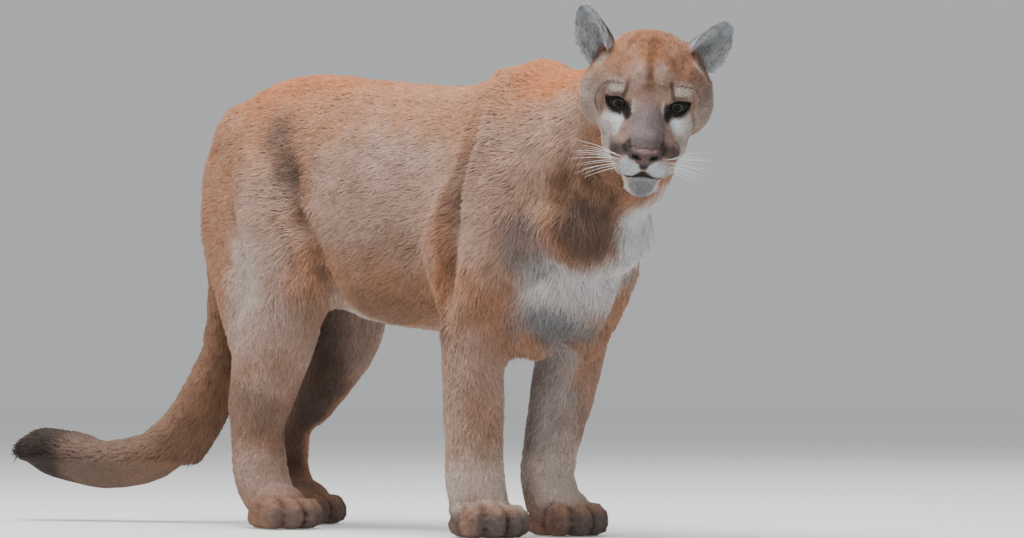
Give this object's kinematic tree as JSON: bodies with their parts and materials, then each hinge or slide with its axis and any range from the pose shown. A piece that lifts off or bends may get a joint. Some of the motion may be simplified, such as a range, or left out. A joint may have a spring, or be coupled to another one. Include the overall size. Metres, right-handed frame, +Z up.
{
  "type": "cougar",
  "caption": "Life-size model of an adult cougar standing on all fours, head turned to its right, long tail hanging and trailing behind",
  "frame": {"origin": "on the floor, under the middle of the whole animal's box", "axes": "+X the way the body heads, +Y the animal's left, +Z up"},
  "size_m": [1.627, 0.3526, 0.7885],
  "materials": {
    "coat": "short dense fur, tawny above and pale below",
    "eye": "wet, glossy eyeball",
    "nose": "bare nose leather"
  },
  "bodies": {
    "root": {"ear_left": "coat", "ear_right": "coat", "eye_left": "eye", "eye_right": "eye", "fore_left_lower_leg": "coat", "fore_left_paw": "coat", "fore_left_upper_leg": "coat", "fore_right_lower_leg": "coat", "fore_right_paw": "coat", "fore_right_upper_leg": "coat", "head": "coat", "hind_left_lower_leg": "coat", "hind_left_paw": "coat", "hind_left_upper_leg": "coat", "hind_right_lower_leg": "coat", "hind_right_paw": "coat", "hind_right_upper_leg": "coat", "neck": "coat", "nose": "nose", "tail_middle": "coat", "tail_root": "coat", "tail_tip": "coat", "torso": "coat"}
  },
  "joints": []
}
